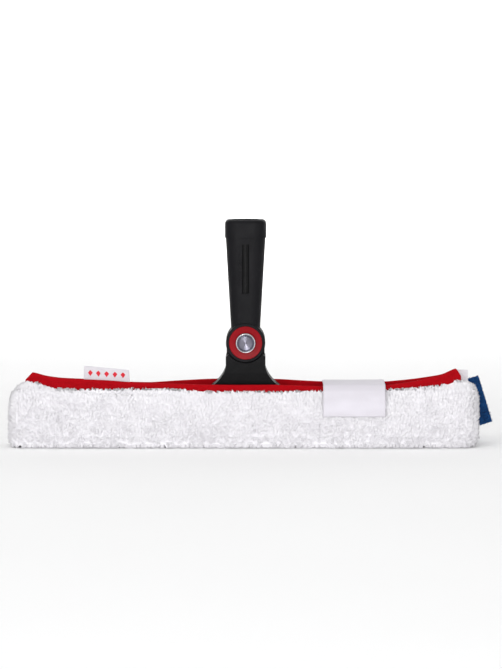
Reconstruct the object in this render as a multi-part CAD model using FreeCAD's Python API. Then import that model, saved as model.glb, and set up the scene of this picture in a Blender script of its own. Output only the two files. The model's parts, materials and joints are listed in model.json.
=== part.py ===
"""Window washer: a T-bar in a fleece sleeve, with a swivelling handle that a push button unlocks.

Millimetres. +Z is up, +X runs along the bar to the right, and -Y is the front, where the button is.
The origin lies on the sleeve's resting face, straight below the swivel axis.
Every sub-part is written to parts/NODE.step. At rest the handle is upright, the button is out and its cog is
locked, and the closure flap lies on its hook patch.
"""

import FreeCAD
import Part

import math
import os

Vector = FreeCAD.Vector

# ---------------------------------------------------------------- driving dimensions
PIVOT_Z = 78.5  # height of the swivel axis above the resting face

# Handle
HANDLE_TOP_Z = 169.7
COLLAR_HEIGHT = 13.4
COLLAR_WIDTH, COLLAR_DEPTH, COLLAR_CORNER = 30.7, 29.3, 9.5
COLLAR_EDGE_RADIUS = 3.2
COLLAR_LIP = 1.5  # thickness of the collar over the end of the grip
GRIP_TOP_WIDTH, GRIP_TOP_DEPTH, GRIP_TOP_CORNER = 29.5, 28.0, 9.0
NECK_WIDTH, NECK_DEPTH, NECK_CORNER = 20.4, 25.0, 7.0  # grip section taken down to the swivel axis
SPIGOT_WIDTH, SPIGOT_DEPTH, SPIGOT_CORNER = 27.0, 25.6, 8.0
LINER_OUTER_R, SOCKET_R = 11.0, 10.0
LINER_FLOOR_Z, LINER_FLOOR = 111.0, 1.6
LIP_HOLE_R = 10.6
WINDOW_WIDTH, WINDOW_BOTTOM_Z, WINDOW_TOP_Z = 5.0, 115.0, 151.5
RIB_WIDTH, RIB_REACH = 0.8, 1.7  # rib of the liner that shows in the window
TICK_COUNT, TICK_PITCH, TICK_LOW_Z = 11, 2.3, 121.5
TICK_LENGTH, TICK_WIDTH, TICK_PROUD, TICK_GAP = 2.2, 1.0, 0.4, 0.6

# Swivel joint, layered from front to back about the axis
HUB_R, HUB_FACE_Y, HUB_EDGE = 14.6, 13.5, 0.8
CHEEK_Y, TONGUE_Y = 6.1, 5.5  # inner face of a cheek, face of the tongue
TONGUE_R, TONGUE_SLOT_R = 14.3, 15.2
HUB_CLEARANCE_R = 15.1  # hollow in the foot that the hub turns in
RECESS_R, RECESS_Y = 12.4, 11.7  # seats of the ring in front and of the cap behind
CAP_CLEARANCE = 0.05
PIN_R, PIN_BEARING_R, PIN_FRONT_Y = 4.0, 4.05, -8.6
PIN_HEAD_R, PIN_HEAD_Y, PIN_HEAD = 6.8, 9.0, 2.2
PIN_SEAT_R = 7.0
WASHER_INNER_R, WASHER_OUTER_R, WASHER = 10.8, 14.2, 0.5

# Angle lock
LOCK_TEETH = 24
COG_TIP_R, COG_ROOT_R = 9.9, 8.7
COG_TIP_HALF_DEG, COG_ROOT_HALF_DEG = 2.2, 3.9
SPLINE_GAP, SPLINE_GAP_DEG = 0.13, 0.75
COG_FRONT_Y, COG_BACK_Y = -8.95, -4.2
POCKET_FLOOR_Y = -0.5
BUTTON_R, BUTTON_FACE_Y, BUTTON_SKIRT_Y, BUTTON_SHEET = 7.2, -16.2, -12.3, 0.5
BUTTON_DOME, BUTTON_CHAMFER, BUTTON_DIMPLE_R = 0.45, 0.7, 0.9
RING_BORE_R, RING_SPIGOT_R, RING_STOP_Y = 7.4, 8.5, -9.05
RING_SLOPE = 0.5  # fall of the ring's face from its rim to its bore
STEM_R, STEM_CORE_R, STEM_SPIGOT_R, STEM_SPIGOT_Y = 7.1, 6.6, 6.2, -6.0
SPRING_SEAT_R, SPRING_SEAT_Y, STEM_BLIND_Y, STEM_GUIDE_R = 5.5, -9.2, -12.2, 4.1
SPRING_MEAN_R, SPRING_WIRE_R, SPRING_TURNS = 4.78, 0.38, 5.5
SPRING_END_GAP = 0.06

# Foot and bar
FOOT_PLATE_HALF, FOOT_PLATE_TOP_Z = 27.0, 46.5
FOOT_NECK_HALF, FOOT_SHOULDER_Z, FOOT_FLARE_Z = 14.7, 68.3, 60.0
TONGUE_HALF = 14.1
BAR_HALF, BAR_DEPTH, BAR_HEIGHT, BAR_CORNER, BAR_WALL = 164.0, 18.0, 34.0, 6.0, 1.8
BAR_MID_Z = 25.0
BAR_CAP, BAR_CAP_SPIGOT, BAR_CAP_EDGE, BAR_CAP_FIT = 4.0, 10.0, 2.0, 0.05
WATER_HOLE_R, WATER_HOLE_PITCH, WATER_HOLES_EACH_SIDE = 5.0, 24.0, 6
SCREW_X, SCREW_R, SCREW_HEAD_R, SCREW_HEAD, SCREW_TOP_Z = 16.0, 1.6, 3.0, 2.2, 53.0
SCREW_HOLE_R, DRIVER_HOLE_R = 1.8, 4.0
CROSS_LENGTH, CROSS_WIDTH, CROSS_DEPTH = 3.4, 0.8, 1.2

# Sleeve: stations are (x, lowest z, highest z, half thickness, half width of the top edge)
SLEEVE_STATIONS = (
    (-176.5, 6.0, 28.0, 9.5, 5.0),
    (-174.5, 2.2, 40.0, 13.5, 5.0),
    (-170.5, 0.0, 46.0, 16.5, 4.6),
    (-163.0, 0.0, 49.6, 18.0, 4.4),
    (-150.0, 0.0, 48.0, 18.3, 4.4),
    (-120.0, 0.0, 45.6, 18.3, 4.4),
    (-71.0, 0.0, 43.6, 18.3, 5.0),
    (-45.0, 0.0, 43.4, 18.3, 11.4),
    (-27.0, 0.0, 43.4, 18.3, 15.4),
    (0.0, 0.0, 43.4, 18.3, 16.2),
    (27.0, 0.0, 43.4, 18.3, 15.6),
    (58.0, 0.0, 43.4, 18.3, 13.5),
    (105.0, 0.0, 43.6, 18.3, 10.8),
    (147.0, 0.0, 47.5, 18.3, 4.6),
    (157.0, 0.0, 50.6, 18.0, 4.4),
    (165.5, 0.0, 49.6, 16.5, 4.4),
    (170.5, 2.2, 46.5, 13.5, 5.0),
    (173.5, 5.5, 38.0, 9.5, 5.0),
)
# Shape of a station: (share of the height, share of the half thickness), from the resting face up
STATION_OUTLINE = ((0.0, 0.55), (0.05, 0.82), (0.18, 0.96), (0.42, 1.0), (0.62, 1.0), (0.78, 0.95))
SHOULDER_HEIGHT, SHOULDER_SHARE = 0.9, 0.79
CAVITY_CLEARANCE = 0.3

# Binding tapes: stations are (x, distance of the middle from the bar's plane, height of the top edge)
BINDING, BINDING_LOW_Z = 2.4, 42.5
FRONT_BINDING = (
    (-164.3, 1.6, 50.0),
    (-159.0, 1.6, 55.6),
    (-150.0, 1.6, 52.8),
    (-138.0, 1.6, 51.1),
    (-120.0, 1.6, 50.3),
    (-100.0, 1.6, 49.2),
    (-85.0, 1.6, 48.1),
    (-71.0, 1.6, 47.7),
    (-45.0, 8.0, 47.4),
    (-27.0, 12.2, 47.4),
    (0.0, 13.0, 47.4),
    (27.0, 12.4, 47.3),
    (57.0, 10.5, 46.2),
    (80.0, 8.8, 45.7),
    (105.0, 7.5, 46.5),
    (125.0, 5.0, 49.1),
    (147.0, 1.6, 53.6),
    (157.0, 1.6, 58.6),
    (161.0, 1.6, 52.4),
)
REAR_RISE = {-45.0: 1.6, -27.0: 1.9, 0.0: 1.9, 27.0: 1.7, 57.0: 1.3, 80.0: 1.6, 105.0: 1.0, 125.0: 0.9}
OPENING_LEFT_X, OPENING_RIGHT_X = -71.0, 147.0
OPENING_LOW_Z, OPENING_HIGH_Z = 41.5, 62.0

# Closure flap, its root and the hook patch under it
FLAP_LEFT_X, FLAP_RIGHT_X, FLAP = 57.5, 103.6, 1.2
FLAP_HINGE = (13.6, 48.4)  # (y, z) of the fold at the rear edge
FLAP_CORNER = (-15.2, 47.8)  # (y, z) of the fold at the front edge
FLAP_TAB = ((-18.5, 38.0), (-20.0, 30.0), (-20.0, 24.4))
FLAP_ROOT = ((13.9, 47.5), (14.3, 43.9), (15.7, 39.4), (17.6, 34.2), (18.3, 29.0))
FOLD_GAP = 0.3
HOOK_PATCH, PATCH, PATCH_INSET = ((-17.9, 34.0), (-18.7, 29.6), (-18.7, 25.6)), 0.8, 2.0

# Trim
SIDE_LABEL = ((-121.0, 44.0), (-86.5, 44.0), (-87.0, 57.2), (-120.6, 60.4))
SIDE_LABEL_THICKNESS = 0.7
CARE_LABEL = ((155.6, 44.5), (166.6, 44.0), (166.2, 56.8), (156.0, 57.2))
CARE_LABEL_Y, CARE_LABEL_THICKNESS = 3.0, 0.5
PAD_TOP, PAD_BOTTOM, PAD_WIDTH = (175.5, 50.9), (186.3, 16.2), 22.0
PAD_FRONT_Y, PAD_THICKNESS = 17.2, 3.6


# ---------------------------------------------------------------- helpers
def rounded_rect(width, height, radius, place):
    """Closed wire of a rounded rectangle about (0, 0); place turns (u, v) into a point."""
    u, v = width / 2, height / 2
    inset = radius * (1 - math.sqrt(0.5))
    arcs = []
    for su, sv in ((1, -1), (1, 1), (-1, 1), (-1, -1)):
        flat = (su * (u - radius), sv * v)
        tall = (su * u, sv * (v - radius))
        middle = (su * (u - inset), sv * (v - inset))
        arcs.append((flat, middle, tall) if su != sv else (tall, middle, flat))
    edges = []
    for arc, following in zip(arcs, arcs[1:] + arcs[:1]):
        edges.append(Part.Arc(*(place(*point) for point in arc)).toShape())
        edges.append(Part.LineSegment(place(*arc[2]), place(*following[0])).toShape())
    return Part.Wire(edges)


def level(z):
    """Placer for outlines drawn in the XY plane at a height."""
    return lambda u, v: Vector(u, v, z)


def bar_end(x):
    """Placer for outlines of the bar, drawn in the YZ plane at x."""
    return lambda u, v: Vector(x, u, BAR_MID_Z + v)


def block(width, depth, corner, z_from, z_to):
    """Upright prism with a rounded rectangular section."""
    face = Part.Face(rounded_rect(width, depth, corner, level(z_from)))
    return face.extrude(Vector(0, 0, z_to - z_from))


def beam(depth, height, corner, x_from, x_to):
    """Prism along X with a rounded rectangular section, centred on the bar."""
    face = Part.Face(rounded_rect(depth, height, corner, bar_end(x_from)))
    return face.extrude(Vector(x_to - x_from, 0, 0))


def cuboid(x_range, y_range, z_range):
    size = [high - low for low, high in (x_range, y_range, z_range)]
    return Part.makeBox(*size, Vector(x_range[0], y_range[0], z_range[0]))


def disc(radius, y_from, y_to):
    """Cylinder along Y on the swivel axis."""
    return Part.makeCylinder(radius, y_to - y_from, Vector(0, y_from, PIVOT_Z), Vector(0, 1, 0))


def ring(outer, inner, y_from, y_to):
    return disc(outer, y_from, y_to).cut(disc(inner, y_from, y_to))


def post(radius, z_from, z_to, x=0.0):
    """Upright cylinder in the bar's plane."""
    return Part.makeCylinder(radius, z_to - z_from, Vector(x, 0, z_from))


def turned(profile):
    """Solid of revolution about the swivel axis, from points (y, radius)."""
    points = [Vector(0, y, PIVOT_Z + radius) for y, radius in profile]
    face = Part.Face(Part.makePolygon(points + points[:1]))
    return face.revolve(Vector(0, 0, PIVOT_Z), Vector(0, 1, 0), 360)


def prism_y(points, y_from, y_to):
    """Prism along Y from corner points (x, z)."""
    corners = [Vector(x, y_from, z) for x, z in points]
    face = Part.Face(Part.makePolygon(corners + corners[:1]))
    return face.extrude(Vector(0, y_to - y_from, 0))


def prism_x(points, x_from, x_to):
    """Prism along X from corner points (y, z)."""
    corners = [Vector(x_from, y, z) for y, z in points]
    face = Part.Face(Part.makePolygon(corners + corners[:1]))
    return face.extrude(Vector(x_to - x_from, 0, 0))


def toothed(tip_r, root_r, tip_half_deg, root_half_deg, y_from, y_to):
    """Toothed disc on the swivel axis, with one tooth pointing straight up."""
    outline = []
    corners = (
        (root_r, -root_half_deg),
        (tip_r, -tip_half_deg),
        (tip_r, tip_half_deg),
        (root_r, root_half_deg),
    )
    for tooth in range(LOCK_TEETH):
        for radius, offset in corners:
            angle = math.radians(360 / LOCK_TEETH * tooth + offset)
            outline.append((radius * math.sin(angle), PIVOT_Z + radius * math.cos(angle)))
    return prism_y(outline, y_from, y_to)


def spline_cutter(y_from, y_to):
    """The hole that the lock cog slides in: the cog's outline with running room all round."""
    return toothed(
        COG_TIP_R + SPLINE_GAP,
        COG_ROOT_R + SPLINE_GAP,
        COG_TIP_HALF_DEG + SPLINE_GAP_DEG,
        COG_ROOT_HALF_DEG + SPLINE_GAP_DEG,
        y_from,
        y_to,
    )


def strip(path, thickness, x_from, x_to):
    """Tape of even thickness along X whose middle line in the YZ plane runs through path."""
    normals = []
    for index in range(len(path)):
        before, after = path[max(index - 1, 0)], path[min(index + 1, len(path) - 1)]
        along = (after[0] - before[0], after[1] - before[1])
        length = math.hypot(*along)
        normals.append((-along[1] / length, along[0] / length))
    half = thickness / 2
    one_side = [(y + n[0] * half, z + n[1] * half) for (y, z), n in zip(path, normals)]
    other = [(y - n[0] * half, z - n[1] * half) for (y, z), n in zip(path, normals)]
    return prism_x(one_side + other[::-1], x_from, x_to)


def fold_roll(centre):
    """Rounded end of a strip, about the line that it folds on."""
    start = Vector(FLAP_LEFT_X, centre[0], centre[1])
    return Part.makeCylinder(FLAP / 2, FLAP_RIGHT_X - FLAP_LEFT_X, start, Vector(1, 0, 0))


def towards(start, end, distance):
    """The point that lies a distance from start on the way to end."""
    length = math.dist(start, end)
    return tuple(s + (e - s) * distance / length for s, e in zip(start, end))


def rounded_edges(shape, radius, picks):
    """The shape with a fillet on each edge that picks accepts."""
    return shape.makeFillet(radius, [edge for edge in shape.Edges if picks(edge)])


# ---------------------------------------------------------------- handle
def grip_depth_at(z):
    share = (z - PIVOT_Z) / (HANDLE_TOP_Z - COLLAR_HEIGHT - PIVOT_Z)
    return NECK_DEPTH + (GRIP_TOP_DEPTH - NECK_DEPTH) * share


def hub_cheek(y_from, y_to, face_y):
    """One of the two discs of the fork, with a soft edge on its outer face."""
    return rounded_edges(
        disc(HUB_R, y_from, y_to), HUB_EDGE, lambda e: e.Closed and abs(e.CenterOfMass.y - face_y) < 0.01
    )


def grip_shell():
    """Tapered grip that ends below in a fork of two cheeks and above in a spigot for the collar."""
    grip_top = HANDLE_TOP_Z - COLLAR_HEIGHT
    sections = [
        rounded_rect(NECK_WIDTH, NECK_DEPTH, NECK_CORNER, level(PIVOT_Z)),
        rounded_rect(GRIP_TOP_WIDTH, GRIP_TOP_DEPTH, GRIP_TOP_CORNER, level(grip_top)),
    ]
    shell = Part.makeLoft(sections, True, True)
    shell = shell.fuse(block(SPIGOT_WIDTH, SPIGOT_DEPTH, SPIGOT_CORNER, grip_top, HANDLE_TOP_Z - COLLAR_LIP))
    for tick in range(TICK_COUNT):
        low = TICK_LOW_Z + TICK_PITCH * tick
        face = -grip_depth_at(low) / 2
        right = -WINDOW_WIDTH / 2 - TICK_GAP
        across = (right - TICK_LENGTH, right)
        shell = shell.fuse(cuboid(across, (face - TICK_PROUD, face + 1), (low, low + TICK_WIDTH)))
    shell = shell.fuse(hub_cheek(-HUB_FACE_Y, -CHEEK_Y, -HUB_FACE_Y))
    shell = shell.fuse(hub_cheek(CHEEK_Y, HUB_FACE_Y, HUB_FACE_Y))
    cutters = [
        disc(TONGUE_SLOT_R, -CHEEK_Y, CHEEK_Y),
        post(LINER_OUTER_R, LINER_FLOOR_Z, HANDLE_TOP_Z),
        cuboid((-WINDOW_WIDTH / 2, WINDOW_WIDTH / 2), (-GRIP_TOP_DEPTH, 0), (WINDOW_BOTTOM_Z, WINDOW_TOP_Z)),
        disc(RECESS_R, -HUB_FACE_Y, -RECESS_Y),
        spline_cutter(-RECESS_Y, -CHEEK_Y),
        disc(PIN_R, CHEEK_Y, PIN_HEAD_Y),
        disc(PIN_SEAT_R, PIN_HEAD_Y, RECESS_Y),
        disc(RECESS_R, RECESS_Y, HUB_FACE_Y),
    ]
    for cutter in cutters:
        shell = shell.cut(cutter)
    return shell.removeSplitter()


def grip_end_collar():
    low = HANDLE_TOP_Z - COLLAR_HEIGHT
    collar = block(COLLAR_WIDTH, COLLAR_DEPTH, COLLAR_CORNER, low, HANDLE_TOP_Z)
    collar = rounded_edges(collar, COLLAR_EDGE_RADIUS, lambda e: abs(e.CenterOfMass.z - HANDLE_TOP_Z) < 0.01)
    collar = collar.cut(block(SPIGOT_WIDTH, SPIGOT_DEPTH, SPIGOT_CORNER, low, HANDLE_TOP_Z - COLLAR_LIP))
    return collar.cut(post(LIP_HOLE_R, low, HANDLE_TOP_Z))


def pole_socket_liner():
    """Cup that an extension pole plugs into, with a rib that keys it in the grip's window."""
    top = HANDLE_TOP_Z - COLLAR_LIP
    liner = post(LINER_OUTER_R, LINER_FLOOR_Z, top)
    rib_y = (-LINER_OUTER_R - RIB_REACH, -SOCKET_R - 0.5)
    liner = liner.fuse(cuboid((-RIB_WIDTH / 2, RIB_WIDTH / 2), rib_y, (WINDOW_BOTTOM_Z, WINDOW_TOP_Z)))
    return liner.cut(post(SOCKET_R, LINER_FLOOR_Z + LINER_FLOOR, top))


def red_button_ring():
    """Ring pressed into the front cheek; its spigot is the stop that the lock cog rests against."""
    outer = RECESS_R - CAP_CLEARANCE
    face = -HUB_FACE_Y + 0.1
    return turned(
        (
            (face + 0.3, outer),
            (face, outer - 0.3),
            (face + RING_SLOPE, RING_BORE_R),
            (RING_STOP_Y, RING_BORE_R),
            (RING_STOP_Y, RING_SPIGOT_R),
            (-RECESS_Y, RING_SPIGOT_R),
            (-RECESS_Y, outer),
        )
    )


def rear_pivot_cap():
    face = HUB_FACE_Y - 0.2
    outer = RECESS_R - CAP_CLEARANCE
    return turned(
        (
            (RECESS_Y, 0),
            (RECESS_Y, outer),
            (face - 0.4, outer),
            (face, outer - 0.4),
            (face, 8.0),
            (face - 0.5, 7.5),
            (face - 0.5, 0),
        )
    )


def pivot_pin():
    return disc(PIN_R, PIN_FRONT_Y, PIN_HEAD_Y).fuse(disc(PIN_HEAD_R, PIN_HEAD_Y, PIN_HEAD_Y + PIN_HEAD))


def thrust_washer(side):
    middle = side * (CHEEK_Y + TONGUE_Y) / 2
    return ring(WASHER_OUTER_R, WASHER_INNER_R, middle - WASHER / 2, middle + WASHER / 2)


# ---------------------------------------------------------------- lock button
def button_cap():
    """Turned metal cup with a chamfered rim, a low dome and a centre dimple."""
    rim = BUTTON_R - BUTTON_CHAMFER
    face = BUTTON_FACE_Y
    inner_face = face + BUTTON_SHEET + 0.4
    return turned(
        (
            (face + 0.3, 0),
            (face - 0.05, BUTTON_DIMPLE_R),
            (face, rim * 0.55),
            (face + BUTTON_DOME * 0.6, rim * 0.92),
            (face + BUTTON_DOME * 0.3, rim),
            (face + BUTTON_CHAMFER + 0.2, BUTTON_R),
            (BUTTON_SKIRT_Y, BUTTON_R),
            (BUTTON_SKIRT_Y, STEM_CORE_R),
            (inner_face, STEM_CORE_R),
            (inner_face, 0),
        )
    )


def button_stem():
    """Plunger body: carries the cap in front and the cog behind, and slides on the pivot pin."""
    front = BUTTON_FACE_Y + BUTTON_SHEET + 0.4
    stem = disc(STEM_CORE_R, front, BUTTON_SKIRT_Y).fuse(disc(STEM_R, BUTTON_SKIRT_Y, COG_FRONT_Y))
    stem = stem.fuse(disc(STEM_SPIGOT_R, COG_FRONT_Y, STEM_SPIGOT_Y))
    stem = stem.cut(disc(SPRING_SEAT_R, SPRING_SEAT_Y, STEM_SPIGOT_Y))
    return stem.cut(disc(STEM_GUIDE_R, STEM_BLIND_Y, STEM_SPIGOT_Y))


def lock_cog():
    cog = toothed(COG_TIP_R, COG_ROOT_R, COG_TIP_HALF_DEG, COG_ROOT_HALF_DEG, COG_FRONT_Y, COG_BACK_Y)
    cog = cog.cut(disc(STEM_SPIGOT_R, COG_FRONT_Y, STEM_SPIGOT_Y))
    return cog.cut(disc(SPRING_SEAT_R, STEM_SPIGOT_Y, COG_BACK_Y))


def return_spring():
    """Compression spring between the stem's seat and the floor of the tongue's pocket."""
    y_from = SPRING_SEAT_Y + SPRING_WIRE_R + SPRING_END_GAP
    y_to = POCKET_FLOOR_Y - SPRING_WIRE_R - SPRING_END_GAP
    height = y_to - y_from
    helix = Part.makeHelix(height / SPRING_TURNS, height, SPRING_MEAN_R)
    start = Vector(SPRING_MEAN_R, 0, 0)
    wire = Part.Wire(Part.makeCircle(SPRING_WIRE_R, start, Vector(0, 1, 0)))
    spring = Part.Wire(helix.Edges).makePipeShell([wire], True, True)
    spring.rotate(Vector(0, 0, 0), Vector(1, 0, 0), -90)
    spring.translate(Vector(0, y_from, PIVOT_Z))
    return spring


# ---------------------------------------------------------------- foot and bar
def foot_bracket():
    """Flared foot whose tongue stands between the cheeks of the handle."""
    flare = Part.Arc(
        Vector(FOOT_NECK_HALF, 0, FOOT_FLARE_Z), Vector(18.0, 0, 53.0), Vector(24.6, 0, FOOT_PLATE_TOP_Z)
    ).toShape()
    right = [
        Part.LineSegment(Vector(0, 0, 72.0), Vector(10.0, 0, 72.0)).toShape(),
        Part.LineSegment(Vector(10.0, 0, 72.0), Vector(FOOT_NECK_HALF, 0, FOOT_SHOULDER_Z)).toShape(),
        Part.LineSegment(Vector(FOOT_NECK_HALF, 0, FOOT_SHOULDER_Z), flare.Vertexes[0].Point).toShape(),
        flare,
        Part.LineSegment(flare.Vertexes[-1].Point, Vector(FOOT_PLATE_HALF, 0, 44.5)).toShape(),
        Part.LineSegment(Vector(FOOT_PLATE_HALF, 0, 44.5), Vector(FOOT_PLATE_HALF, 0, 42.0)).toShape(),
        Part.LineSegment(Vector(FOOT_PLATE_HALF, 0, 42.0), Vector(0, 0, 42.0)).toShape(),
    ]
    left = [edge.mirror(Vector(0, 0, 0), Vector(1, 0, 0)) for edge in right]
    outline = Part.Wire(Part.__sortEdges__(right + left))
    front_view = Part.Face(outline).extrude(Vector(0, 2 * HUB_FACE_Y, 0))
    front_view.translate(Vector(0, -HUB_FACE_Y, 0))
    half_side = ((9.5, 42.0), (9.5, 46.5), (10.4, 47.6), (12.4, 56.0), (13.0, 64.0), (13.0, 73.0))
    side = list(half_side) + [(-y, z) for y, z in reversed(half_side)]
    foot = front_view.common(prism_x(side, -FOOT_PLATE_HALF, FOOT_PLATE_HALF))
    for y_from, y_to in ((-20.0, -TONGUE_Y), (TONGUE_Y, 20.0)):
        foot = foot.cut(disc(HUB_CLEARANCE_R, y_from, y_to))
    tongue = disc(TONGUE_R, -TONGUE_Y, TONGUE_Y)
    web = cuboid((-TONGUE_HALF, TONGUE_HALF), (-TONGUE_Y, TONGUE_Y), (60.0, PIVOT_Z))
    foot = foot.fuse(tongue).fuse(web)
    foot = foot.cut(spline_cutter(-TONGUE_Y, POCKET_FLOOR_Y))
    foot = foot.cut(disc(PIN_BEARING_R, POCKET_FLOOR_Y, TONGUE_Y))
    for x in (-SCREW_X, SCREW_X):
        foot = foot.cut(post(SCREW_R, 42.0, SCREW_TOP_Z, x))
    return foot.removeSplitter()


def foot_screws():
    """Two self-tapping screws driven up through the bar's top wall into the foot."""
    head_z = BAR_MID_Z + BAR_HEIGHT / 2 - BAR_WALL
    screws = []
    for x in (-SCREW_X, SCREW_X):
        screw = post(SCREW_HEAD_R, head_z - SCREW_HEAD, head_z, x).fuse(post(SCREW_R, head_z, SCREW_TOP_Z, x))
        low = (head_z - SCREW_HEAD, head_z - SCREW_HEAD + CROSS_DEPTH)
        half, narrow = CROSS_LENGTH / 2, CROSS_WIDTH / 2
        screw = screw.cut(cuboid((x - half, x + half), (-narrow, narrow), low))
        screws.append(screw.cut(cuboid((x - narrow, x + narrow), (-half, half), low)))
    return Part.makeCompound(screws)


def t_bar():
    """Hollow bar with rows of water holes, screw holes above and driver holes below."""
    inner = [size - 2 * BAR_WALL for size in (BAR_DEPTH, BAR_HEIGHT)]
    bar = beam(BAR_DEPTH, BAR_HEIGHT, BAR_CORNER, -BAR_HALF, BAR_HALF)
    bar = bar.cut(beam(*inner, BAR_CORNER - BAR_WALL, -BAR_HALF, BAR_HALF))
    for side in (-1, 1):
        for number in range(1, WATER_HOLES_EACH_SIDE + 1):
            start = Vector(side * WATER_HOLE_PITCH * number, -BAR_DEPTH, BAR_MID_Z)
            bar = bar.cut(Part.makeCylinder(WATER_HOLE_R, 2 * BAR_DEPTH, start, Vector(0, 1, 0)))
        bar = bar.cut(post(SCREW_HOLE_R, BAR_MID_Z, BAR_MID_Z + BAR_HEIGHT, side * SCREW_X))
        bar = bar.cut(post(DRIVER_HOLE_R, BAR_MID_Z - BAR_HEIGHT, BAR_MID_Z, side * SCREW_X))
    return bar


def bar_cap(side):
    """Rounded plug in one end of the bar."""
    inner = [size - 2 * BAR_WALL - 2 * BAR_CAP_FIT for size in (BAR_DEPTH, BAR_HEIGHT)]
    outer_x = BAR_HALF + BAR_CAP
    flange = beam(BAR_DEPTH, BAR_HEIGHT, BAR_CORNER, BAR_HALF, outer_x)
    flange = rounded_edges(flange, BAR_CAP_EDGE, lambda e: abs(e.CenterOfMass.x - outer_x) < 0.01)
    corner = BAR_CORNER - BAR_WALL - BAR_CAP_FIT
    cap = flange.fuse(beam(*inner, corner, BAR_HALF - BAR_CAP_SPIGOT, BAR_HALF))
    return cap if side > 0 else cap.mirror(Vector(0, 0, 0), Vector(1, 0, 0))


# ---------------------------------------------------------------- sleeve
def sleeve_section(x, low, high, half, top_half):
    """Closed outline of the sleeve at x."""
    height = high - low
    points = [(half * wide, low + height * tall) for tall, wide in STATION_OUTLINE]
    shoulder = max(half * SHOULDER_SHARE, (half * STATION_OUTLINE[-1][1] + top_half) / 2)
    points += [(shoulder, low + height * SHOULDER_HEIGHT), (top_half, high)]
    corners = [Vector(x, y, z) for y, z in points] + [Vector(x, -y, z) for y, z in reversed(points)]
    return Part.makePolygon(corners + corners[:1])


def binding(side, rises):
    """Folded tape along one edge of the opening; side is -1 in front and 1 behind."""
    sections = []
    for x, middle, top in FRONT_BINDING:
        y_in, y_out = side * (middle - BINDING / 2), side * (middle + BINDING / 2)
        high = top + rises.get(x, 0.0)
        outline = ((y_in, BINDING_LOW_Z), (y_out, BINDING_LOW_Z), (y_out, high), (y_in, high))
        corners = [Vector(x, y, z) for y, z in outline]
        sections.append(Part.makePolygon(corners + corners[:1]))
    return Part.makeLoft(sections, True, True)


def opening_cutter():
    """Room between the two bindings, where the foot passes."""
    inside = [station for station in FRONT_BINDING if OPENING_LEFT_X <= station[0] <= OPENING_RIGHT_X]
    rim = [(x, middle - BINDING / 2) for x, middle, _ in inside]
    corners = [Vector(x, y, OPENING_LOW_Z) for x, y in rim]
    corners += [Vector(x, -y, OPENING_LOW_Z) for x, y in reversed(rim)]
    face = Part.Face(Part.makePolygon(corners + corners[:1]))
    return face.extrude(Vector(0, 0, OPENING_HIGH_Z - OPENING_LOW_Z))


def fleece_sleeve(sewn_in):
    """Fleece tube around the bar, open along its top; sewn_in are the pieces that it makes room for."""
    sleeve = Part.makeLoft([sleeve_section(*station) for station in SLEEVE_STATIONS], True, True)
    grow = 2 * CAVITY_CLEARANCE
    reach = BAR_HALF + BAR_CAP + CAVITY_CLEARANCE
    cavity = beam(BAR_DEPTH + grow, BAR_HEIGHT + grow, BAR_CORNER + CAVITY_CLEARANCE, -reach, reach)
    sleeve = sleeve.cut(cavity).cut(opening_cutter())
    for piece in sewn_in:
        sleeve = sleeve.cut(piece)
    return sleeve


def hook_patch():
    """Hook tape that holds the free end of the closure flap."""
    return strip(HOOK_PATCH, PATCH, FLAP_LEFT_X + PATCH_INSET, FLAP_RIGHT_X - PATCH_INSET)


def flap_root():
    """Sewn end of the closure flap, on the rear of the sleeve."""
    return strip(FLAP_ROOT, FLAP, FLAP_LEFT_X, FLAP_RIGHT_X)


def flap_bridge():
    """Stretch of the flap over the opening; it turns on the rear edge."""
    short_of_corner = towards(FLAP_CORNER, FLAP_HINGE, FLAP / 2 + FOLD_GAP)
    tape = strip((FLAP_HINGE, short_of_corner), FLAP, FLAP_LEFT_X, FLAP_RIGHT_X)
    return tape.fuse(fold_roll(FLAP_HINGE)).removeSplitter()


def flap_tab():
    """Free end of the flap, which lies on the hook patch."""
    tape = strip((FLAP_CORNER,) + FLAP_TAB, FLAP, FLAP_LEFT_X, FLAP_RIGHT_X)
    return tape.fuse(fold_roll(FLAP_CORNER)).removeSplitter()


def side_label():
    half = SIDE_LABEL_THICKNESS / 2
    return prism_y(SIDE_LABEL, -half, half)


def care_label():
    return prism_y(CARE_LABEL, CARE_LABEL_Y, CARE_LABEL_Y + CARE_LABEL_THICKNESS)


def scrub_pad():
    """Scouring strip sewn at a slant behind the right end of the sleeve."""
    along = (PAD_BOTTOM[0] - PAD_TOP[0], PAD_BOTTOM[1] - PAD_TOP[1])
    length = math.hypot(*along)
    inward = (along[1] / length * PAD_WIDTH, -along[0] / length * PAD_WIDTH)
    corners = [PAD_TOP, PAD_BOTTOM]
    corners += [(x + inward[0], z + inward[1]) for x, z in (PAD_BOTTOM, PAD_TOP)]
    return prism_y(corners, PAD_FRONT_Y, PAD_FRONT_Y + PAD_THICKNESS)


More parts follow.
